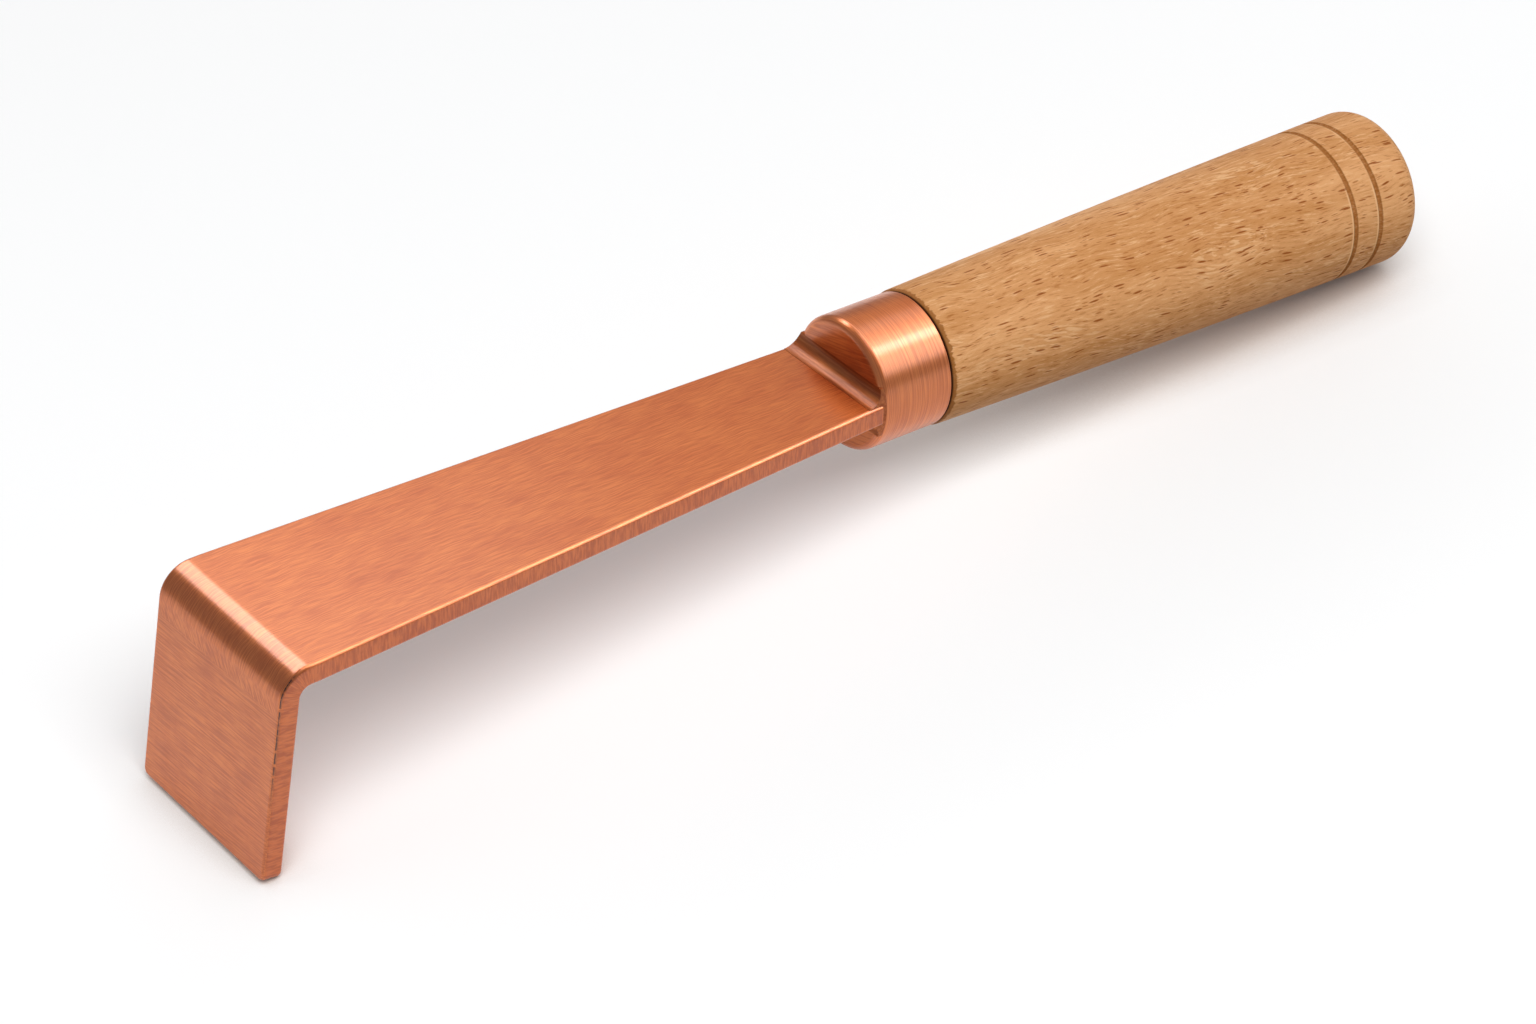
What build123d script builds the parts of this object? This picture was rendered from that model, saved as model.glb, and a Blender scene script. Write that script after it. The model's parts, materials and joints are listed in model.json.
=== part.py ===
from build123d import *
from math import asin, atan2, cos, degrees, hypot, radians, sin, tan
import os

# Deck scraper. A flat bar of copper alloy tapers in plan towards the hand and turns down at
# its far end to make the blade. Its root is tenoned and brazed into a turned collar. A beech
# handle sits in the collar's cup, drawn up tight by a threaded rod, two washers and a nut
# that lie in a counterbore under a wooden plug.
#
# Everything is first made in the tool's own frame: X runs along the handle's axis towards
# the butt, X = 0 is the collar's front face, Y runs across the blade, Z points up from the
# bar. The finished pieces are then turned together onto the surface that the tool lies on.
# Lengths are in millimetres and angles in degrees.

# Bar and blade
bar_thickness = 4.85
bar_length = 153.9
bar_top_height = 2.5
bar_droop_angle = 1.1
bar_root_width = 30.0
blade_width = 44.7
blade_length = 48.5
bend_inside_angle = 97.7
bend_inner_radius = 2.6
bend_parallel_length = 2.0
toe_thickness = 4.7
blade_corner_round = 1.8
bar_edge_round = 0.9

# Bar's tenon in the collar, and the braze round the joint
tenon_length = 4.5
tenon_width = 20.0
tenon_gap = 0.05
braze_radius = 3.5
braze_inset = 0.15

# Collar
collar_diameter = 30.0
collar_length = 18.6
collar_wall = 2.2
collar_cup_depth = 8.6
collar_front_round = 1.8
collar_back_round = 0.3

# Handle
handle_length = 134.6
handle_front_diameter = 30.5
handle_butt_diameter = 35.8
handle_swell = 0.28
handle_front_round = 1.2
handle_end_round = 4.3
shoulder_gap = 0.2
spigot_gap = 0.05
spigot_end_gap = 0.3
spigot_chamfer = 0.6
groove_count = 2
groove_first_distance = 114.3
groove_spacing = 7.5
groove_width = 1.2
groove_depth = 0.45

# Rod, washers and nut
rod_diameter = 8.0
rod_chamfer = 0.8
rod_past_nut = 1.5
rod_bore_gap = 0.2
thread_gap = 0.04
washer_diameter = 19.0
washer_thickness = 1.6
washer_hole_gap = 0.2
washer_rim_gap = 0.5
lock_washer_diameter = 14.8
lock_washer_thickness = 2.0
lock_washer_hole_gap = 0.1
lock_washer_slot = 0.8
nut_across_flats = 13.0
nut_thickness = 6.5
nut_chamfer = 0.5

# Wooden plug
plug_thickness = 5.0
plug_gap = 0.05
plug_chamfer = 0.5
plug_air_space = 1.0

# Derived places and radii
collar_radius = collar_diameter / 2
cup_radius = collar_radius - collar_wall
cup_floor = collar_length - collar_cup_depth
rod_radius = rod_diameter / 2
rod_bore_radius = rod_radius + rod_bore_gap
shoulder = collar_length + shoulder_gap
butt = shoulder + handle_length
counterbore_radius = washer_diameter / 2 + washer_rim_gap
counterbore_depth = (washer_thickness + lock_washer_thickness + nut_thickness
                     + rod_past_nut + plug_air_space + plug_thickness)
washer_seat = butt - counterbore_depth


def heading(angle):
    """Unit vector in the side view, at an angle from +X towards +Z."""
    return Vector(cos(radians(angle)), sin(radians(angle)))


def crossing(start, along, other_start, other_along):
    """Point where two straight lines of the side view meet."""
    between = other_start - start
    spread = along.X * other_along.Y - along.Y * other_along.X
    share = (between.X * other_along.Y - between.Y * other_along.X) / spread
    return start + along * share


def rounded(outline, point, radius):
    """The flat outline with its corner nearest to point rounded off."""
    corner = outline.vertices().sort_by_distance(point)[0]
    return fillet(corner, radius)


def disc(start, length, radius):
    """Round solid on the handle's axis."""
    return Plane.YZ.offset(start) * extrude(Circle(radius), amount=length)


# Corners of the bar and blade in the side view, outer line first
root_heading = heading(bar_droop_angle)
blade_heading = heading(bar_droop_angle - bend_inside_angle)
bar_inward = Vector(root_heading.Y, -root_heading.X)
blade_inward = Vector(-blade_heading.Y, blade_heading.X)
root_top = Vector(0, bar_top_height)
root_under = root_top - Vector(0, bar_thickness / cos(radians(bar_droop_angle)))
bend_outer = root_top - root_heading * bar_length
toe_outer = bend_outer + blade_heading * blade_length
toe_inner = toe_outer + blade_inward * toe_thickness
blade_back = bend_outer + blade_inward * bar_thickness
bend_inner = crossing(root_under, root_heading, blade_back, toe_inner - blade_back)
bend_outer_radius = bend_inner_radius + bar_thickness
bend_setback = bend_outer_radius / tan(radians(bend_inside_angle / 2))


def make_scraper_bar():
    """Bar and blade in one bent strip, with the tenon at the root."""
    outline = [root_top, bend_outer, toe_outer, toe_inner, bend_inner, root_under]
    side = make_face(Polyline([(point.X, point.Y) for point in outline], close=True))
    side = rounded(side, bend_outer, bend_outer_radius)
    side = rounded(side, bend_inner, bend_inner_radius)
    strip = extrude(Plane.XZ * side, amount=blade_width / 2, both=True)

    reach = bar_length + blade_length
    taper_end = bar_length - bend_setback - bend_parallel_length
    half_plan = [(0, bar_root_width / 2), (-taper_end, blade_width / 2), (-reach, blade_width / 2)]
    plan = half_plan + [(x, -y) for x, y in reversed(half_plan)]
    strip &= extrude(make_face(Polyline(plan, close=True)), amount=reach, both=True)

    toe = (toe_outer + toe_inner) / 2
    corners = [Vector(toe.X, y, toe.Y) for y in (-blade_width / 2, blade_width / 2)]
    strip = fillet([strip.edges().sort_by_distance(corner)[0] for corner in corners], blade_corner_round)

    skirt = strip.faces().filter_by(lambda face: abs(face.normal_at().Y) > sin(radians(30)))
    skirt.append(strip.faces().sort_by_distance(Vector(toe.X, 0, toe.Y))[0])
    rims = [edge for face in skirt for edge in face.edges()]
    long_edges = [edge for edge in rims
                  if sum(edge.is_same(other) for other in rims) == 1
                  and edge.bounding_box().min.X < -bar_edge_round]
    strip = fillet(long_edges, bar_edge_round)

    tenon = Box(tenon_length, tenon_width, bar_thickness, align=(Align.MIN, Align.CENTER, Align.MAX))
    return strip + Pos(0, 0, bar_top_height) * tenon


def make_collar():
    """Turned collar: a solid head at the bar, and a cup for the handle's spigot."""
    collar = disc(0, collar_length, collar_radius)
    rims = collar.edges().filter_by(GeomType.CIRCLE).sort_by(Axis.X)
    collar = fillet(rims[0], collar_front_round)
    rims = collar.edges().filter_by(GeomType.CIRCLE).sort_by(Axis.X)
    collar = fillet(rims[-1], collar_back_round)
    collar -= disc(cup_floor, collar_length, cup_radius)
    collar -= disc(0, collar_length, rod_radius + thread_gap)
    slot = Box(tenon_length + tenon_gap, tenon_width + 2 * tenon_gap, bar_thickness + 2 * tenon_gap,
               align=(Align.MIN, Align.CENTER, Align.MAX))
    return collar - Pos(0, 0, bar_top_height + tenon_gap) * slot


def make_root_braze(bar, collar):
    """Braze metal: a hollow round from the bar onto the collar's face, dressed below its rim."""
    foot = -braze_radius
    upper = root_top.Y + braze_radius
    lower = root_under.Y - braze_radius
    hollow_share = cos(radians(45))
    upper_waist = (foot * (1 - hollow_share), upper - braze_radius * hollow_share)
    lower_waist = (foot * (1 - hollow_share), lower + braze_radius * hollow_share)
    edges = [
        ThreePointArc((foot, root_top.Y), upper_waist, (0, upper)),
        Line((0, upper), (collar_front_round, upper)),
        Line((collar_front_round, upper), (collar_front_round, lower)),
        Line((collar_front_round, lower), (0, lower)),
        ThreePointArc((0, lower), lower_waist, (foot, root_under.Y)),
        Line((foot, root_under.Y), (foot, root_top.Y)),
    ]
    wedge = extrude(Plane.XZ * make_face(edges), amount=collar_radius, both=True)
    braze = wedge & disc(foot, braze_radius + collar_front_round, collar_radius - braze_inset)
    return braze - bar - collar


def make_handle():
    """Turned beech handle with a spigot, two grooves, a rod bore and a nut counterbore."""
    front_radius = handle_front_diameter / 2
    butt_radius = handle_butt_diameter / 2
    spigot_radius = cup_radius - spigot_gap
    front, back = (shoulder, front_radius), (butt, butt_radius)
    middle = ((shoulder + butt) / 2, (front_radius + butt_radius) / 2 + handle_swell)
    swell = ThreePointArc(front, middle, back)
    outline = make_face([swell, Polyline(back, (butt, 0), (shoulder, 0), front)])
    outline = rounded(outline, Vector(front), handle_front_round)
    outline = rounded(outline, Vector(back), handle_end_round)

    groove_radius = (groove_width ** 2 / 4 + groove_depth ** 2) / (2 * groove_depth)
    for number in range(groove_count):
        share = (groove_first_distance + number * groove_spacing) / handle_length
        surface = swell @ share
        outline -= Pos(surface.X, surface.Y - groove_depth + groove_radius) * Circle(groove_radius)
    body = revolve(Plane.XZ * outline, Axis.X)

    spigot_start = cup_floor + spigot_end_gap
    spigot = disc(spigot_start, shoulder - spigot_start, spigot_radius)
    rims = spigot.edges().filter_by(GeomType.CIRCLE).sort_by(Axis.X)
    body += chamfer(rims[0], spigot_chamfer)
    body -= disc(0, butt, rod_bore_radius)
    return body - disc(washer_seat, counterbore_depth, counterbore_radius)


def make_tang_rod():
    """Threaded rod from the collar's head to just past the nut."""
    end = washer_seat + washer_thickness + lock_washer_thickness + nut_thickness + rod_past_nut
    rod = disc(tenon_length, end - tenon_length, rod_radius)
    return chamfer(rod.edges().filter_by(GeomType.CIRCLE).sort_by(Axis.X)[-1], rod_chamfer)


def make_clamp_washer():
    """Flat washer on the floor of the counterbore."""
    hole = disc(washer_seat, washer_thickness, rod_radius + washer_hole_gap)
    return disc(washer_seat, washer_thickness, washer_diameter / 2) - hole


def make_lock_washer():
    """Split spring washer that keeps the nut tight as the wood shrinks."""
    start = washer_seat + washer_thickness
    outer_radius = lock_washer_diameter / 2
    ring = disc(start, lock_washer_thickness, outer_radius)
    ring -= disc(start, lock_washer_thickness, rod_radius + lock_washer_hole_gap)
    slot = Box(lock_washer_thickness, lock_washer_slot, outer_radius,
               align=(Align.MIN, Align.CENTER, Align.MIN))
    return ring - Pos(start, 0, 0) * slot


def make_clamp_nut():
    """Hexagon nut, its corners chamfered at both ends."""
    start = washer_seat + washer_thickness + lock_washer_thickness
    corner_radius = nut_across_flats / 2 / cos(radians(30))
    prism = extrude(RegularPolygon(corner_radius, 6), amount=nut_thickness)
    round_bar = chamfer(disc(start, nut_thickness, corner_radius).edges().filter_by(GeomType.CIRCLE),
                        nut_chamfer)
    nut = (Plane.YZ.offset(start) * prism) & round_bar
    return nut - disc(start, nut_thickness, rod_radius + thread_gap)


def make_butt_plug():
    """Wooden plug glued flush into the counterbore's mouth."""
    plug = disc(butt - plug_thickness, plug_thickness, counterbore_radius - plug_gap)
    return chamfer(plug.edges().filter_by(GeomType.CIRCLE).sort_by(Axis.X)[0], plug_chamfer)


def resting(pieces):
    """Turns the tool onto its toe and butt, and centres it over the origin."""
    toe_centre = toe_inner - (blade_inward + blade_heading) * bar_edge_round
    slope = (handle_butt_diameter - handle_front_diameter) / 2 / handle_length
    inset = handle_end_round * (slope + hypot(1, slope))
    end_centre = Vector(butt - handle_end_round, inset - handle_butt_diameter / 2)
    span = end_centre - toe_centre
    rise = degrees(atan2(span.Y, span.X))
    rise += degrees(asin((bar_edge_round - handle_end_round) / hypot(span.X, span.Y)))
    turned_down = {name: Rot(0, rise, 0) * piece for name, piece in pieces.items()}
    box = Compound(children=[piece.solid() for piece in turned_down.values()]).bounding_box()
    place = Pos(-box.center().X, 0, -box.min.Z)
    return {name: place * piece for name, piece in turned_down.items()}


scraper_bar = make_scraper_bar()
collar = make_collar()
pieces = {
    "scraper_bar": scraper_bar,
    "root_braze": make_root_braze(scraper_bar, collar),
    "collar": collar,
    "handle": make_handle(),
    "tang_rod": make_tang_rod(),
    "clamp_washer": make_clamp_washer(),
    "lock_washer": make_lock_washer(),
    "clamp_nut": make_clamp_nut(),
    "butt_plug": make_butt_plug(),
}

os.makedirs("parts", exist_ok=True)
for name, piece in resting(pieces).items():
    export_step(piece, f"parts/{name}.step")
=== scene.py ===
import json
from math import asin, atan2, cos, pi, radians, sin, tan

import bmesh
import bpy
from mathutils import Matrix, Vector


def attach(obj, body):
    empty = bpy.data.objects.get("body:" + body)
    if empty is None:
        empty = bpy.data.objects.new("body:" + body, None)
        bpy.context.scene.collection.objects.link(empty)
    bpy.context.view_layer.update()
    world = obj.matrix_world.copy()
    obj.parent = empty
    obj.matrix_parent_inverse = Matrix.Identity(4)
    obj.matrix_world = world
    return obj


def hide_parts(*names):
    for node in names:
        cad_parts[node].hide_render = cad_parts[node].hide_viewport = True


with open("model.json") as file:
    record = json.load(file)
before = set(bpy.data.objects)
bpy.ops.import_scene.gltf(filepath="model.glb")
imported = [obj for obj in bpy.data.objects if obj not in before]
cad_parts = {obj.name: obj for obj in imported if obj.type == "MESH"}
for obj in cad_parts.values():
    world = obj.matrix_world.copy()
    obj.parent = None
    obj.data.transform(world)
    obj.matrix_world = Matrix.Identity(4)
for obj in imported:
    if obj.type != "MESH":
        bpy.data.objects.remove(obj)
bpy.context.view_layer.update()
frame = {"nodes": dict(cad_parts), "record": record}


# The tool's own frame
# X runs along the handle's axis to the butt, Y across the blade, Z up from the bar, and the
# origin is the middle of the collar's front face. The record's butt mount says where that is.
mm = 0.001
butt_distance = 153.4 * mm
butt_mount = next(mount for mount in frame["record"]["mounts"] if mount["name"] == "butt_face")
tool_x = Vector(butt_mount["axis"])
tool_y = Vector((0, 1, 0))
tool_z = tool_x.cross(tool_y)
tool_origin = Vector(butt_mount["pos_m"]) - tool_x * butt_distance
tool_turn = Matrix((tool_x, tool_y, tool_z)).transposed().to_4x4()
tool_place = Matrix.Translation(tool_origin) @ tool_turn


# Camera
# It looks down over the blade's outer face from the near left, and leans a little to one side.
# Its place was fitted to the tool's edges.
camera_azimuth = radians(-35.864)
camera_elevation = radians(37.481)
camera_roll = radians(-2.763)
camera_distance = 1060.5 * mm
camera_aim = Vector((-16.31, -1.28, 10.19)) * mm
camera_near_clip = 10 * mm
camera_far_clip = 100.0
film_width = 36
photo_width = 1536
focal_length_pixels = 5000

camera_data = bpy.data.cameras.new("camera")
camera = bpy.data.objects.new("camera", camera_data)
bpy.context.collection.objects.link(camera)
camera_back = Vector((sin(camera_azimuth) * cos(camera_elevation),
                      -cos(camera_azimuth) * cos(camera_elevation), sin(camera_elevation)))
camera_level = (-camera_back).to_track_quat("-Z", "Y").to_matrix()
camera_turn = Matrix.Rotation(camera_roll, 3, camera_back) @ camera_level
camera.matrix_world = (Matrix.Translation(camera_aim + camera_back * camera_distance)
                       @ camera_turn.to_4x4())
camera_data.sensor_width = film_width
camera_data.lens = film_width * focal_length_pixels / photo_width
camera_data.clip_start = camera_near_clip
camera_data.clip_end = camera_far_clip
bpy.context.scene.camera = camera
bpy.context.scene.view_settings.view_transform = "Standard"


# Floor
# A wide white table top that takes the tool's soft shadow. Close to the tool, where little open
# air is left, a painted shade makes it darker and warmer. A small share of its white doesn't follow the
# light.
floor_half_width = 4.0
floor_seen_colour = (0.955, 0.96, 0.965, 1)
floor_bounce_colour = (0.50, 0.50, 0.50, 1)
steady_white_share = 0.14
painted_shade_reach = 16 * mm
painted_shade_air_range = (0.30, 0.82)
painted_shade_samples = 4
painted_shade_colour = (0.55, 0.465, 0.405, 1)
painted_shade_white_share = 0.06


def add_node(material, kind, inputs=None, **settings):
    """One shader node. Each input is a value, or the output of another node."""
    node = material.node_tree.nodes.new("ShaderNode" + kind)
    for name, value in settings.items():
        setattr(node, name, value)
    for name, value in (inputs or {}).items():
        if isinstance(value, bpy.types.NodeSocket):
            material.node_tree.links.new(value, node.inputs[name])
        else:
            node.inputs[name].default_value = value
    return node


def new_material(name):
    """An empty node material and its surface shader."""
    material = bpy.data.materials.new(name)
    material.use_nodes = True
    return material, material.node_tree.nodes["Principled BSDF"]


def feed(material, output, node, socket):
    """Lets one node's output set another node's input."""
    material.node_tree.links.new(output, node.inputs[socket])


def value_of(material, operation, *values):
    """The result of one arithmetic step on numbers or node outputs."""
    return add_node(material, "Math", dict(enumerate(values)), operation=operation).outputs[0]


def ramped(material, value, start, end, low=0.0, high=1.0, kind="LINEAR"):
    """Low before start and high after end, with an even change between them."""
    return add_node(material, "MapRange", {"Value": value, 1: start, 2: end, 3: low, 4: high},
                    interpolation_type=kind).outputs[0]


def blended(material, share, first, second, blend_type="MIX"):
    """A colour between two colours, or the second laid over the first in another way."""
    return add_node(material, "Mix", {0: share, 6: first, 7: second}, data_type="RGBA",
                    blend_type=blend_type).outputs[2]


bm = bmesh.new()
bmesh.ops.create_grid(bm, x_segments=1, y_segments=1, size=floor_half_width)
floor_mesh = bpy.data.meshes.new("floor")
bm.to_mesh(floor_mesh)
bm.free()
floor = bpy.data.objects.new("floor", floor_mesh)
bpy.context.collection.objects.link(floor)

white_floor, floor_shader = new_material("white_floor")
floor_shader.inputs["Roughness"].default_value = 1.0
floor_shader.inputs["Specular IOR Level"].default_value = 0.0
light_path = add_node(white_floor, "LightPath").outputs
seen_directly = value_of(white_floor, "MAXIMUM",
                         light_path["Is Camera Ray"], light_path["Is Glossy Ray"])
floor_colour = blended(white_floor, seen_directly, floor_bounce_colour, floor_seen_colour)
# Painted shade: the floor turns darker and warmer where the tool closes off the open air.
open_air = add_node(white_floor, "AmbientOcclusion", {"Distance": painted_shade_reach},
                    samples=painted_shade_samples).outputs["AO"]
clear = ramped(white_floor, open_air, *painted_shade_air_range)
floor_colour = blended(white_floor, clear, painted_shade_colour, floor_colour)
feed(white_floor, floor_colour, floor_shader, "Base Color")
white_share = ramped(white_floor, clear, 0.0, 1.0, painted_shade_white_share, steady_white_share)
white_share = value_of(white_floor, "MULTIPLY", white_share, seen_directly)
white = add_node(white_floor, "Emission", {"Color": (1, 1, 1, 1), "Strength": 1.0}).outputs[0]
floor_look = add_node(white_floor, "MixShader", {0: white_share, 1: floor_shader.outputs[0], 2: white})
feed(white_floor, floor_look.outputs[0], white_floor.node_tree.nodes["Material Output"], "Surface")
floor_mesh.materials.append(white_floor)


# Studio light
# One wide soft box, high on the camera's side, gives the light and the shadow. A dim white room
# with a low bright window beyond the tool fills them in. The other boxes, and a room of another
# brightness, only show in the metal's shine.
room_brightness = 0.20
room_in_shine = 0.37
window_brightness = 1.7
window_top = radians(32)
window_fade_share = 0.7
window_side_range = (0.1, 0.4)
key_distance = 3.0
reflector_distance = 1.5


def part_of(material, vector, axis):
    """One coordinate of a vector output."""
    return add_node(material, "SeparateXYZ", {0: vector}).outputs[axis]


def mixed(material, share, first, second):
    """A number between two numbers."""
    return add_node(material, "Mix", {0: share, 2: first, 3: second}).outputs[0]


world = bpy.data.worlds.new("studio")
bpy.context.scene.world = world
world.use_nodes = True
backdrop = world.node_tree.nodes["Background"]
backdrop.inputs["Color"].default_value = (1, 1, 1, 1)
ray = add_node(world, "LightPath").outputs
direction = add_node(world, "TexCoord").outputs["Generated"]
height = part_of(world, direction, "Z")
low = ramped(world, height, sin(window_top), sin(window_top) * window_fade_share)
beyond = ramped(world, part_of(world, direction, "Y"), *window_side_range)
in_window = value_of(world, "MULTIPLY", low, beyond)
room_light = mixed(world, in_window, room_brightness, window_brightness)
room = mixed(world, ray["Is Glossy Ray"], room_light, room_in_shine)
feed(world, mixed(world, ray["Is Camera Ray"], room, 1.0), backdrop, "Strength")


def soft_box(name, azimuth, elevation, width, height, brightness, distance):
    """A flat lamp that faces the tool. At 0 degrees it is beyond the tool, at 90 past its butt."""
    azimuth = radians(azimuth)
    elevation = radians(elevation)
    away = Vector((sin(azimuth) * cos(elevation), cos(azimuth) * cos(elevation), sin(elevation)))
    data = bpy.data.lights.new(name, "AREA")
    data.shape = "RECTANGLE"
    data.size = width
    data.size_y = height
    data.energy = brightness * pi * width * height
    lamp = bpy.data.objects.new(name, data)
    lamp.matrix_world = (Matrix.Translation(away * distance)
                         @ away.to_track_quat("Z", "Y").to_matrix().to_4x4())
    bpy.context.collection.objects.link(lamp)
    return lamp


# Name, azimuth and elevation in degrees, width and height in metres, and brightness
key_box = ("key_box", 196, 62, 3.0, 1.9, 5.1)
reflectors = (
    ("back_strip", 0, 48, 0.85, 0.30, 7.0),
    ("strip_glow", 25, 40, 0.50, 0.28, 2.0),
    ("back_reflector", 65, 57, 1.1, 0.75, 1.5),
    ("right_reflector", 122, 50, 0.9, 0.85, 2.9),
    ("low_reflector", 134, 27, 0.75, 0.42, 3.0),
    ("edge_strip", 116, 46, 0.24, 0.34, 9.0),
    ("top_reflector", 110, 80, 0.9, 0.9, 1.8),
)
soft_box(*key_box, key_distance).visible_glossy = False
for reflector in reflectors:
    soft_box(*reflector, reflector_distance).visible_diffuse = False


# Scraper bar
# One strip of copper alloy, tapered in plan, bent down at its end into the blade and brushed all
# over. Its edges are rounded by hand, and a tenon at its root goes into the collar.
bar_thickness = 4.85 * mm
bar_length = 153.9 * mm
bar_top_height = 2.5 * mm
bar_droop = radians(1.1)
bar_root_width = 30.0 * mm
blade_width = 44.7 * mm
blade_length = 48.5 * mm
degrees_between_bar_and_blade = 97.7
bend_turn = radians(180 - degrees_between_bar_and_blade)
bend_inner_radius = 2.6 * mm
bend_parallel_length = 2.0 * mm
toe_thinning = 0.15 * mm
blade_corner_round = 1.8 * mm
bar_edge_round = 0.9 * mm
tenon_length = 4.5 * mm
tenon_width = 20.0 * mm
blade_strokes_gap = 1 * mm
taper_stretches = 6
bend_steps = 28
blade_stretches = 6
round_segments = 6
rim_angle = radians(60)
sharp_angle = radians(40)

bend_outer_radius = bend_inner_radius + bar_thickness
bend_setback = bend_outer_radius * tan(bend_turn / 2)
bend_start = bar_length - bend_setback
bend_end = bend_start + bend_outer_radius * bend_turn
blade_strokes_start = bend_end + blade_strokes_gap
bar_heading = Vector((-cos(bar_droop), 0, -sin(bar_droop)))
bar_inward = Vector((sin(bar_droop), 0, -cos(bar_droop)))
bend_rotation = Matrix.Rotation(-bend_turn, 3, "Y")
blade_heading = bend_rotation @ bar_heading
blade_inward = bend_rotation @ bar_inward
root_top = Vector((0, 0, bar_top_height))
bend_centre = root_top + bar_heading * bend_start + bar_inward * bend_outer_radius


def opened_out(point):
    """Where a point of the strip would lie with the bend opened out: along, across and deep."""
    arm = point - bend_centre
    turn = atan2(arm.dot(bar_heading), -arm.dot(bar_inward))
    turn_inside = min(max(turn, 0), bend_turn)
    swing = Matrix.Rotation(-turn_inside, 3, "Y")
    along = bend_start + bend_outer_radius * turn_inside + arm.dot(swing @ bar_heading)
    return Vector((along, point.y, bend_outer_radius + arm.dot(swing @ bar_inward)))


def last_face(geometry):
    """The end face that an extrusion or a spin leaves in front."""
    return next(item for item in geometry if isinstance(item, bmesh.types.BMFace))


def rounded(shape, edges, radius):
    """Rounds the given edges of a shape."""
    bmesh.ops.bevel(shape, geom=edges, offset=radius, affect="EDGES",
                    segments=round_segments, profile=0.5, material=-1)


def make_piece(name, shape, material, node):
    """Turns a shape in the tool's frame into a smooth piece that stands for a node at rest."""
    shape.transform(tool_place)
    bmesh.ops.recalc_face_normals(shape, faces=shape.faces)
    mesh = bpy.data.meshes.new(name)
    shape.to_mesh(mesh)
    shape.free()
    mesh.shade_smooth()
    mesh.set_sharp_from_angle(angle=sharp_angle)
    mesh.materials.append(material)
    piece = bpy.data.objects.new(name, mesh)
    bpy.context.collection.objects.link(piece)
    shading = piece.modifiers.new("even_shading", "WEIGHTED_NORMAL")
    shading.keep_sharp = True
    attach(piece, "root")
    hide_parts(node)


bm = bmesh.new()
taper_length = bar_length - bend_setback - bend_parallel_length
root_corners = [bm.verts.new(root_top + Vector((0, side * bar_root_width / 2, 0)) + bar_inward * depth)
                for side, depth in ((-1, 0), (1, 0), (1, bar_thickness), (-1, bar_thickness))]
end = bm.faces.new(root_corners)
full_widening = blade_width / bar_root_width
bar_stretches = [(taper_length / taper_stretches, 1 + (full_widening - 1) * number / taper_stretches)
                 for number in range(1, taper_stretches + 1)]
bar_stretches.append((bend_parallel_length, full_widening))
for length, widening in bar_stretches:
    end = last_face(bmesh.ops.extrude_face_region(bm, geom=[end])["geom"])
    bmesh.ops.translate(bm, verts=end.verts, vec=bar_heading * length)
    for vert in end.verts:
        vert.co.y = vert.co.y / abs(vert.co.y) * widening * bar_root_width / 2
spun = bmesh.ops.spin(bm, geom=[end, *end.edges, *end.verts], cent=bend_centre, axis=(0, 1, 0),
                      angle=-bend_turn, steps=bend_steps, use_merge=False, use_duplicate=False)
end = last_face(spun["geom_last"])
blade_step = blade_heading * (blade_length - bend_setback) / blade_stretches
for number in range(blade_stretches):
    end = last_face(bmesh.ops.extrude_face_region(bm, geom=[end])["geom"])
    bmesh.ops.translate(bm, verts=end.verts, vec=blade_step)
    inner = [vert for vert in end.verts if opened_out(vert.co).z > bar_thickness / 2]
    bmesh.ops.translate(bm, verts=inner, vec=-blade_inward * toe_thinning / blade_stretches)
loose = [face for face in bm.faces if all(not edge.is_manifold for edge in face.edges)]
bmesh.ops.delete(bm, geom=loose, context="FACES")
bmesh.ops.recalc_face_normals(bm, faces=bm.faces)

end = max(bm.faces, key=lambda face: opened_out(face.calc_center_median()).x)
toe_corners = []
for edge in end.edges:
    run = edge.verts[0].co - edge.verts[1].co
    if abs(run.dot(blade_inward)) > abs(run.y):
        toe_corners.append(edge)
rounded(bm, toe_corners, blade_corner_round)
rims = [edge for edge in bm.edges
        if edge.is_manifold and edge.calc_face_angle() > rim_angle
        and max(opened_out(vert.co).x for vert in edge.verts) > bar_edge_round]
rounded(bm, rims, bar_edge_round)

tenon = bmesh.ops.create_cube(bm, size=1)["verts"]
bmesh.ops.scale(bm, verts=tenon, vec=(tenon_length, tenon_width, bar_thickness))
bmesh.ops.translate(bm, verts=tenon, vec=(tenon_length / 2, 0, bar_top_height - bar_thickness / 2))

opened = bm.verts.layers.float_vector.new("opened_out")
across = bm.verts.layers.float_vector.new("across_strokes")
for vert in bm.verts:
    vert[opened] = opened_out(vert.co)
    past_bend = vert[opened].x > blade_strokes_start
    vert[across] = tool_turn.to_3x3() @ (blade_heading if past_bend else Vector((0, 1, 0)))

# A grain is a count of strokes or stains for each metre along, across and through the strip.
# A painted dark reflection makes a broken dark line down the rounds of the blade's edges, from the
# bend's start on.
bar_colour = (0.585, 0.145, 0.027)
tarnish_share = (0.90, 0.80, 0.70)
dark_streak_share = (0.80, 0.72, 0.66, 1)
bright_streak_share = (1.10, 1.20, 1.28, 1)
streak_range = (0.36, 0.64)
shine_range = (0.25, 0.75)
roughness_spread = 0.05
edge_tint = (1.0, 0.62, 0.42, 1)
long_grain = (150, 3300, 3300)
slanted_grain = (320, 2200, 2200)
slanted_turn = radians(40)
cross_grain = (2700, 100, 2700)
cross_turn = radians(3)
side_grain = (2200, 300, 300)
side_range = (0.80, 0.95)
side_painted_shade_share = (0.84, 0.74, 0.66, 1)
stain_grain = (40, 90, 90)
stain_range = (0.30, 0.62)
wave_grain = 160.0
wave_depth = 1.5 * mm
stroke_depth = 0.010 * mm
ragged_grain = (60, 1500, 60)
ragged_depth = 1.6 * mm
dressed_gap = 0.4 * mm
dressed_length = 3.4 * mm
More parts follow.
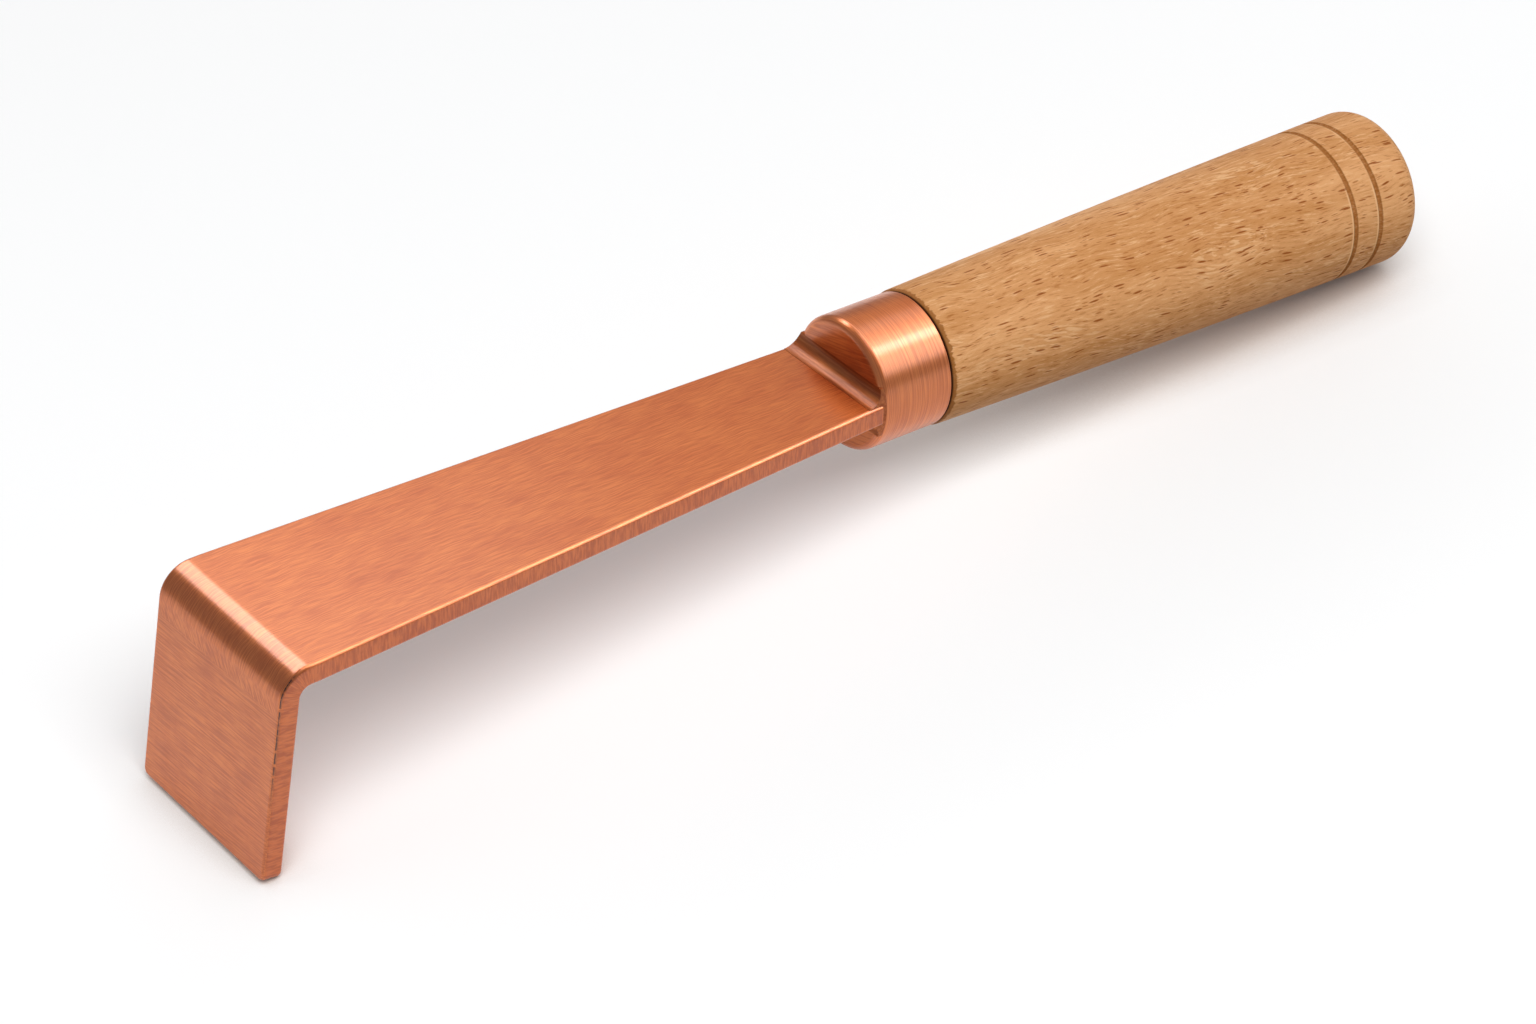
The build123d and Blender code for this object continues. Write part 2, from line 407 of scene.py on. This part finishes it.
dressed_fade = 1.2 * mm
blade_fade = 0.8 * mm
dressed_start = bend_end + dressed_gap
dressed_end = dressed_start + dressed_length
painted_reflection_line_colour = (0.05, 0.012, 0.004, 1)
painted_reflection_line_start_range = (3 * mm, 5 * mm)
painted_reflection_line_end_range = (22 * mm, 38 * mm)
painted_reflection_line_outer_range = (0.50, 0.56)
painted_reflection_line_inner_range = (0.76, 0.82)
painted_reflection_line_grain = (700, 90, 90)
painted_reflection_line_gap_range = (0.36, 0.50)


def vector_of(material, operation, *values):
    """The result of one arithmetic step on vectors or node outputs."""
    return add_node(material, "VectorMath", dict(enumerate(values)), operation=operation).outputs[0]


def eased(material, value, start, end, low=0.0, high=1.0):
    """Low before start and high after end, with a smooth change between them."""
    return ramped(material, value, start, end, low, high, "SMOOTHSTEP")


def stretched_noise(material, place, grain, detail=3.0, roughness=0.55, distortion=0.0):
    """Noise with a grain of its own each way: long marks where the count for a metre is small."""
    scaled = vector_of(material, "MULTIPLY", place, grain)
    noise = add_node(material, "TexNoise", {"Vector": scaled, "Scale": 1.0, "Detail": detail,
                                            "Roughness": roughness, "Distortion": distortion})
    return noise.outputs["Fac"]


def swung_place(material, place, rotation):
    """A place swung about the axes, for strokes that run at a slant."""
    return add_node(material, "Mapping", {"Vector": place, "Rotation": rotation}).outputs[0]


def add_copper(material, shader, colour, strokes, stain, depth, roughness=0.40, gloss=0.8):
    """Brushed copper alloy. Strokes and stain are node outputs from 0 to 1."""
    tarnished = tuple(channel * share for channel, share in zip(colour, tarnish_share))
    metal = blended(material, stain, (*tarnished, 1), (*colour, 1))
    streaks = eased(material, strokes, *streak_range)
    streaks = blended(material, streaks, dark_streak_share, bright_streak_share)
    metal = blended(material, 1.0, metal, streaks, "MULTIPLY")
    feed(material, metal, shader, "Base Color")
    shine = eased(material, strokes, *shine_range,
                  roughness + roughness_spread, roughness - roughness_spread)
    feed(material, shine, shader, "Roughness")
    bump = add_node(material, "Bump", {"Height": strokes, "Distance": depth, "Strength": 1.0})
    feed(material, bump.outputs[0], shader, "Normal")
    shader.inputs["Metallic"].default_value = 1.0
    shader.inputs["Anisotropic"].default_value = 0.5
    shader.inputs["Specular Tint"].default_value = edge_tint
    shader.inputs["Coat Weight"].default_value = gloss
    shader.inputs["Coat IOR"].default_value = 1.7
    shader.inputs["Coat Roughness"].default_value = 0.22
    return metal


brushed_copper, bar_shader = new_material("brushed_copper")
place = add_node(brushed_copper, "Attribute", attribute_name="opened_out").outputs["Vector"]
along = part_of(brushed_copper, place, "X")
normal = add_node(brushed_copper, "NewGeometry").outputs["True Normal"]
sideways = value_of(brushed_copper, "ABSOLUTE", part_of(brushed_copper, normal, "Y"))
ragged = stretched_noise(brushed_copper, place, ragged_grain)
ragged = value_of(brushed_copper, "MULTIPLY_ADD", ragged, ragged_depth, along)
on_dressed = eased(brushed_copper, ragged, dressed_start, dressed_start + dressed_fade)
on_blade = eased(brushed_copper, ragged, dressed_end, dressed_end + blade_fade)
on_side = eased(brushed_copper, sideways, *side_range)

wave = add_node(brushed_copper, "TexNoise", {"Vector": place, "Scale": wave_grain, "Detail": 2.0})
wave = vector_of(brushed_copper, "MULTIPLY", wave.outputs["Color"], (0, wave_depth, 0))
wavy_place = vector_of(brushed_copper, "ADD", place, wave)
long_strokes = stretched_noise(brushed_copper, wavy_place, long_grain, detail=4, roughness=0.6)
slanted_place = swung_place(brushed_copper, place, (0, 0, slanted_turn))
slanted_strokes = stretched_noise(brushed_copper, slanted_place, slanted_grain)
cross_place = swung_place(brushed_copper, place, (0, 0, cross_turn))
cross_strokes = stretched_noise(brushed_copper, cross_place, cross_grain, detail=4, roughness=0.6,
                                distortion=0.3)
side_strokes = stretched_noise(brushed_copper, place, side_grain)
strokes = mixed(brushed_copper, on_dressed, long_strokes, slanted_strokes)
strokes = mixed(brushed_copper, on_blade, strokes, cross_strokes)
strokes = mixed(brushed_copper, on_side, strokes, side_strokes)
stain = stretched_noise(brushed_copper, place, stain_grain, detail=6, roughness=0.6)
stain = eased(brushed_copper, stain, *stain_range)
metal = add_copper(brushed_copper, bar_shader, bar_colour, strokes, stain, stroke_depth)

# Painted shade: the narrow side faces of the bar and blade are made darker and redder than the broad
# faces.
side_painted_shade_metal = blended(brushed_copper, 1.0, metal, side_painted_shade_share, "MULTIPLY")
metal = blended(brushed_copper, on_side, metal, side_painted_shade_metal)
# Painted dark reflection: a broken dark line on the rounds between the blade's faces and its sides.
painted_reflection_line_gaps = stretched_noise(brushed_copper, place, painted_reflection_line_grain, detail=2)
below_bend = value_of(brushed_copper, "SUBTRACT", along, bend_start)
painted_reflection_line = eased(brushed_copper, below_bend, *painted_reflection_line_start_range)
for fade in (
    eased(brushed_copper, below_bend, *painted_reflection_line_end_range, 1.0, 0.0),
    eased(brushed_copper, painted_reflection_line_gaps, *painted_reflection_line_gap_range),
    eased(brushed_copper, sideways, *painted_reflection_line_outer_range),
    eased(brushed_copper, sideways, *painted_reflection_line_inner_range, 1.0, 0.0),
):
    painted_reflection_line = value_of(brushed_copper, "MULTIPLY", painted_reflection_line, fade)
feed(brushed_copper, blended(brushed_copper, painted_reflection_line, metal, painted_reflection_line_colour), bar_shader, "Base Color")
across_strokes = add_node(brushed_copper, "Attribute", attribute_name="across_strokes")
feed(brushed_copper, across_strokes.outputs["Vector"], bar_shader, "Tangent")
make_piece("scraper_bar_brushed", bm, brushed_copper, "scraper_bar")


# Root braze
# Braze metal of the same colour fills the corner between the bar and the collar's face, dressed
# to a hollow round. The frame's own solid has the right shape, so it stays.
# Painted shade: the braze's colour is set darker than the bar's, for the shade in the corner.
braze_painted_shade_colour = (0.36, 0.100, 0.028)
braze_grain = (1800, 110, 1800)
braze_stain_grain = (200, 60, 200)
braze_stain_range = (0.3, 0.6)
braze_stroke_depth = 0.004 * mm
braze_roughness = 0.50
braze_gloss = 0.25


def dress_node(node, material):
    """Gives one of the frame's own nodes its finish."""
    materials = frame["nodes"][node].data.materials
    materials.clear()
    materials.append(material)


braze_copper, braze_shader = new_material("braze_copper")
place = add_node(braze_copper, "TexCoord").outputs["Object"]
strokes = stretched_noise(braze_copper, place, braze_grain)
stain = stretched_noise(braze_copper, place, braze_stain_grain, detail=4)
stain = eased(braze_copper, stain, *braze_stain_range)
add_copper(braze_copper, braze_shader, braze_painted_shade_colour, strokes, stain, braze_stroke_depth,
           roughness=braze_roughness, gloss=braze_gloss)
dress_node("root_braze", braze_copper)


# Collar
# A turned ferrule: solid at the bar, where it takes the tenon and the rod, and hollow at the
# back for the handle's spigot. Emery cloth in the lathe left fine rings round it.
collar_radius = 15.0 * mm
collar_length = 18.6 * mm
collar_wall = 2.2 * mm
collar_cup_depth = 8.6 * mm
collar_front_round = 1.8 * mm
collar_back_round = 0.3 * mm
rod_hole_radius = 4.04 * mm
front_round_segments = 10
back_round_segments = 4
turning_steps = 192
merge_distance = 0.001 * mm


def arc(centre_x, centre_r, radius, start, end, segments):
    """Points of a round in a turned outline, at angles from the butt's way towards outwards."""
    angles = [start + (end - start) * number / segments for number in range(segments + 1)]
    return [(centre_x + radius * cos(angle), centre_r + radius * sin(angle)) for angle in angles]


def turned(outline):
    """Spins a closed outline of (distance along the axis, radius) points round the tool's X axis."""
    shape = bmesh.new()
    verts = [shape.verts.new((x, 0, r)) for x, r in outline]
    edges = [shape.edges.new((first, second)) for first, second in zip(verts, verts[1:] + verts[:1])]
    bmesh.ops.spin(shape, geom=[*verts, *edges], cent=(0, 0, 0), axis=(1, 0, 0), angle=2 * pi,
                   steps=turning_steps, use_merge=True, use_duplicate=False)
    bmesh.ops.remove_doubles(shape, verts=shape.verts, dist=merge_distance)
    return shape


cup_radius = collar_radius - collar_wall
cup_floor = collar_length - collar_cup_depth
collar_outline = (
    [(0, rod_hole_radius)]
    + arc(collar_front_round, collar_radius - collar_front_round, collar_front_round,
          pi, pi / 2, front_round_segments)
    + arc(collar_length - collar_back_round, collar_radius - collar_back_round, collar_back_round,
          pi / 2, 0, back_round_segments)
    + [(collar_length, cup_radius), (cup_floor, cup_radius), (cup_floor, rod_hole_radius)]
)

collar_colour = (0.575, 0.148, 0.030)
ring_grain = (4200, 60, 60)
face_grain = (90, 90, 1500)
face_turn = radians(14)
face_range = (0.90, 0.97)
ring_depth = 0.006 * mm
collar_stain_grain = (150, 60, 60)
collar_stain_range = (0.25, 0.60)


def in_tool_frame(material):
    """Where a point of the surface lies in the tool's own frame."""
    place = add_node(material, "TexCoord").outputs["Object"]
    tilt = asin(-tool_x.z)
    return add_node(material, "Mapping", {"Vector": place, "Location": tool_origin,
                                          "Rotation": (0, tilt, 0)}, vector_type="TEXTURE").outputs[0]


turned_copper, collar_shader = new_material("turned_copper")
place = in_tool_frame(turned_copper)
rings = stretched_noise(turned_copper, place, ring_grain, detail=4, distortion=0.1)
normal = add_node(turned_copper, "NewGeometry").outputs["True Normal"]
facing_front = add_node(turned_copper, "VectorMath", {0: normal, 1: -tool_x}, operation="DOT_PRODUCT")
on_face = eased(turned_copper, facing_front.outputs["Value"], *face_range)
face_place = swung_place(turned_copper, place, (face_turn, 0, 0))
face_strokes = stretched_noise(turned_copper, face_place, face_grain, detail=4, distortion=0.4)
strokes = mixed(turned_copper, on_face, rings, face_strokes)
stain = stretched_noise(turned_copper, place, collar_stain_grain, detail=4)
stain = eased(turned_copper, stain, *collar_stain_range)
add_copper(turned_copper, collar_shader, collar_colour, strokes, stain, ring_depth)
across_rings = add_node(turned_copper, "CombineXYZ", {0: tool_x.x, 1: tool_x.y, 2: tool_x.z}).outputs[0]
feed(turned_copper, across_rings, collar_shader, "Tangent")
make_piece("collar_turned", turned(collar_outline), turned_copper, "collar")


# Handle
# Beech, turned and oiled, a little fatter towards the butt. Its spigot sits in the collar's cup,
# and two lines are burnt into it near the butt, which has a large round.
handle_start = 18.8 * mm
handle_front_radius = 15.25 * mm
handle_butt_radius = 17.9 * mm
handle_swell = 0.28 * mm
handle_front_round = 1.2 * mm
handle_end_round = 4.3 * mm
spigot_start = 10.3 * mm
spigot_radius = 12.75 * mm
spigot_chamfer = 0.6 * mm
rod_bore_radius = 4.2 * mm
counterbore_radius = 10.0 * mm
counterbore_start = 135.8 * mm
groove_places = (133.1 * mm, 140.6 * mm)
groove_width = 1.2 * mm
groove_depth = 0.45 * mm
shoulder_round_end = radians(93)
shoulder_round_segments = 8
grip_stretches = 16
plain_stretches = 13
groove_segments = 8
end_round_segments = 16
handle_length = butt_distance - handle_start


def handle_radius(x):
    """Radius of the grip's gently swelling outline."""
    share = (x - handle_start) / handle_length
    return (handle_front_radius + (handle_butt_radius - handle_front_radius) * share
            + 4 * handle_swell * share * (1 - share))


groove_radius = (groove_width ** 2 / 4 + groove_depth ** 2) / (2 * groove_depth)
groove_half_angle = asin(groove_width / 2 / groove_radius)
groove_bottom = 1.5 * pi
shoulder_end = handle_start + handle_front_round
grip_end = butt_distance - handle_end_round
grip = []
for number in range(1, plain_stretches + 1):
    x = handle_start + handle_length * number / grip_stretches
    grip.append((x, handle_radius(x)))
for x in groove_places:
    centre = handle_radius(x) - groove_depth + groove_radius
    grip += arc(x, centre, groove_radius, groove_bottom - groove_half_angle,
                groove_bottom + groove_half_angle, groove_segments)
handle_outline = (
    [(spigot_start, rod_bore_radius), (spigot_start, spigot_radius - spigot_chamfer),
     (spigot_start + spigot_chamfer, spigot_radius), (handle_start, spigot_radius)]
    + arc(shoulder_end, handle_radius(shoulder_end) - handle_front_round, handle_front_round,
          pi, shoulder_round_end, shoulder_round_segments)
    + grip
    + arc(grip_end, handle_radius(grip_end) - handle_end_round, handle_end_round,
          pi / 2, 0, end_round_segments)
    + [(butt_distance, counterbore_radius), (counterbore_start, counterbore_radius),
       (counterbore_start, rod_bore_radius)]
)

pale_beech = (0.68, 0.345, 0.145, 1)
tan_beech = (0.53, 0.235, 0.075, 1)
ray_colour = (0.78, 0.47, 0.24, 1)
pore_colour = (0.25, 0.058, 0.006, 1)
fibre_colour = (0.36, 0.120, 0.026, 1)
burnt_beech = (0.29, 0.100, 0.019, 1)
front_band_beech = (0.26, 0.088, 0.016, 1)
joint_painted_shade = (0.03, 0.010, 0.003, 1)
grain_twist = -3.0
ray_twist = -12.0
waver_grain = (75, 140, 140)
waver_middle = (0.5, 0.5, 0.5)
waver_depth = 2.6 * mm
band_grain = (12, 110, 110)
band_range = (0.34, 0.66)
fibre_grain = (210, 1900, 1900)
dark_fibre_range = (0.51, 0.68)
dark_fibre_share = 0.62
pale_fibre_range = (0.47, 0.33)
pale_fibre_share = 0.60
ray_grain = (230, 1900, 1900)
ray_range = (0.52, 0.64)
ray_share = 0.65
ray_zone_grain = (18, 130, 130)
ray_zone_range = (0.50, 0.62)
long_pore_spacing = (6.0 * mm, 0.74 * mm, 0.74 * mm)
long_pore_reach = 0.34
long_pore_chance = (0.20, 0.80)
long_pore_share = 0.9
short_pore_spacing = (4.0 * mm, 0.55 * mm, 0.55 * mm)
short_pore_reach = 0.32
short_pore_chance = (0.10, 0.80)
short_pore_share = 0.75
pore_edge_share = 0.45
burn_half_width = 0.85 * mm
burn_core_share = 0.6
burn_share = 0.92
burn_fibre_range = (0.30, 0.60)
weakest_burn = 0.65
groove_highlight_range = (0.08 * mm, 0.36 * mm)
groove_highlight_share = 0.9
groove_highlight_grain = (20, 90, 90)
groove_highlight_zone_range = (0.40, 0.55)
front_band_grain = (90, 1100, 1100)
front_band_unevenness = 2.0 * mm
front_band_range = (0.8 * mm, 1.2 * mm)
front_band_share = 0.85
joint_painted_shade_range = (0.15 * mm, 0.45 * mm)
relief_depth = 0.04 * mm
fibre_relief = 0.35
pore_relief = 0.1
shine_fibre_range = (0.3, 0.7)
pale_fibre_roughness = 0.5
dark_fibre_roughness = 0.62
oil_gloss = 0.08


def twisted(material, place, along, twist):
    """A place turned about the tool's axis, further the nearer it is to the butt."""
    angle = value_of(material, "MULTIPLY", along, twist)
    return add_node(material, "VectorRotate", {"Vector": place, "Angle": angle},
                    rotation_type="X_AXIS").outputs[0]


def pores(material, place, spacing, reach, chance_range):
    """Dark marks along the grain: 1 inside a mark, 0 outside. Reach is a share of their spacing."""
    scaled = vector_of(material, "MULTIPLY", place, tuple(1 / length for length in spacing))
    cells = add_node(material, "TexVoronoi", {"Vector": scaled, "Scale": 1.0}).outputs
    chance = add_node(material, "SeparateColor", {0: cells["Color"]}).outputs[0]
    size = eased(material, chance, *chance_range, 0.0, reach)
    depth = value_of(material, "SUBTRACT", size, cells["Distance"])
    return eased(material, depth, 0.0, reach * pore_edge_share)


def layered(material, share, mark, below, colour):
    """Lays a colour over another where a mark shows, at a share of its strength."""
    return blended(material, value_of(material, "MULTIPLY", mark, share), below, colour)


def distance_from(material, along, x):
    """How far a point lies from a ring at a place along the axis."""
    return value_of(material, "ABSOLUTE", value_of(material, "SUBTRACT", along, x))


beech, beech_shader = new_material("beech")
place = in_tool_frame(beech)
along = part_of(beech, place, "X")
waver = vector_of(beech, "MULTIPLY", place, waver_grain)
waver = add_node(beech, "TexNoise", {"Vector": waver, "Scale": 1.0, "Detail": 0.0}).outputs["Color"]
waver = vector_of(beech, "SUBTRACT", waver, waver_middle)
waver = vector_of(beech, "MULTIPLY", waver, (0, waver_depth, waver_depth))
waved = vector_of(beech, "ADD", place, waver)
grain = twisted(beech, waved, along, grain_twist)
slanted = twisted(beech, waved, along, ray_twist)
bands = stretched_noise(beech, grain, band_grain, detail=4, roughness=0.6)
fibres = stretched_noise(beech, grain, fibre_grain, detail=5, roughness=0.7)
long_pores = pores(beech, grain, long_pore_spacing, long_pore_reach, long_pore_chance)
short_pores = pores(beech, grain, short_pore_spacing, short_pore_reach, short_pore_chance)
rays = stretched_noise(beech, slanted, ray_grain, detail=2, distortion=0.3)
rays = eased(beech, rays, *ray_range)
ray_zones = stretched_noise(beech, grain, ray_zone_grain, detail=2)
rays = value_of(beech, "MULTIPLY", rays, eased(beech, ray_zones, *ray_zone_range))

wood = blended(beech, eased(beech, bands, *band_range), tan_beech, pale_beech)
dark_fibres = eased(beech, fibres, *dark_fibre_range, 0.0, dark_fibre_share)
wood = blended(beech, dark_fibres, wood, fibre_colour)
pale_fibres = eased(beech, fibres, *pale_fibre_range, 0.0, pale_fibre_share)
wood = blended(beech, pale_fibres, wood, ray_colour)
wood = layered(beech, ray_share, rays, wood, ray_colour)
wood = layered(beech, short_pore_share, short_pores, wood, fibre_colour)
wood = layered(beech, long_pore_share, long_pores, wood, pore_colour)

# Painted highlight: a pale line, broken into patches, along the edge of each groove on the collar's
# side.
groove_highlight_zones = eased(beech, stretched_noise(beech, place, groove_highlight_grain, detail=2), *groove_highlight_zone_range)
burn_strength = eased(beech, fibres, *burn_fibre_range, weakest_burn, 1.0)
for x in groove_places:
    # Painted highlight along the groove's edge, then the groove's own burn.
    groove_painted_highlight = distance_from(beech, along, x - burn_half_width)
    groove_painted_highlight = eased(beech, groove_painted_highlight, *groove_highlight_range, groove_highlight_share, 0.0)
    wood = blended(beech, value_of(beech, "MULTIPLY", groove_painted_highlight, groove_highlight_zones), wood, ray_colour)
    burn = distance_from(beech, along, x)
    burn = eased(beech, burn, burn_half_width * burn_core_share, burn_half_width, burn_share, 0.0)
    wood = blended(beech, value_of(beech, "MULTIPLY", burn, burn_strength), wood, burnt_beech)

# A darker band with an uneven edge runs round the wood's front round, next to the collar.
uneven = stretched_noise(beech, place, front_band_grain)
uneven = value_of(beech, "MULTIPLY_ADD", uneven, front_band_unevenness, -front_band_unevenness / 2)
from_joint = value_of(beech, "SUBTRACT", along, handle_start)
front_band = eased(beech, value_of(beech, "ADD", from_joint, uneven), *front_band_range, front_band_share, 0.0)
wood = blended(beech, front_band, wood, front_band_beech)
# Painted shade: a near-black line on the wood right at the gap to the collar.
wood = blended(beech, eased(beech, from_joint, *joint_painted_shade_range, 1.0, 0.0), wood, joint_painted_shade)

feed(beech, wood, beech_shader, "Base Color")
shine = eased(beech, fibres, *shine_fibre_range, pale_fibre_roughness, dark_fibre_roughness)
feed(beech, shine, beech_shader, "Roughness")
relief = value_of(beech, "SUBTRACT", value_of(beech, "MULTIPLY", fibres, fibre_relief),
                  value_of(beech, "MULTIPLY", long_pores, pore_relief))
bump = add_node(beech, "Bump", {"Height": relief, "Distance": relief_depth, "Strength": 1.0})
feed(beech, bump.outputs[0], beech_shader, "Normal")
beech_shader.inputs["Specular IOR Level"].default_value = oil_gloss
make_piece("handle_beech", turned(handle_outline), beech, "handle")


# Rod, washers and nut
# Zinc plated steel. The rod is fixed in the collar, and the nut on its far end draws the handle
# into the cup. The washers and the nut lie in the counterbore, under the plug.
dull_zinc = (0.40, 0.41, 0.42, 1)
bright_zinc = (0.62, 0.63, 0.64, 1)
spangle_grain = 700.0
spangle_depth = 0.01 * mm
oil_grain = (160, 160, 160)
oil_range = (0.35, 0.65)
dry_roughness = 0.28
oily_roughness = 0.45

zinc_steel, zinc_shader = new_material("zinc_steel")
place = in_tool_frame(zinc_steel)
spangle = add_node(zinc_steel, "TexVoronoi", {"Vector": place, "Scale": spangle_grain})
spangle = add_node(zinc_steel, "SeparateColor", {0: spangle.outputs["Color"]}).outputs[0]
oily = stretched_noise(zinc_steel, place, oil_grain, detail=4)
oily = eased(zinc_steel, oily, *oil_range)
zinc = layered(zinc_steel, oily, spangle, bright_zinc, dull_zinc)
feed(zinc_steel, zinc, zinc_shader, "Base Color")
shine = eased(zinc_steel, oily, 0.0, 1.0, dry_roughness, oily_roughness)
feed(zinc_steel, shine, zinc_shader, "Roughness")
bump = add_node(zinc_steel, "Bump", {"Height": spangle, "Distance": spangle_depth, "Strength": 1.0})
feed(zinc_steel, bump.outputs[0], zinc_shader, "Normal")
zinc_shader.inputs["Metallic"].default_value = 1.0
for name in ("tang_rod", "clamp_washer", "lock_washer", "clamp_nut"):
    dress_node(name, zinc_steel)


# Butt plug
# A disc of the same beech, glued flush into the counterbore's mouth over the nut. The frame's
# own solid has the right shape, so it stays.
dress_node("butt_plug", beech)
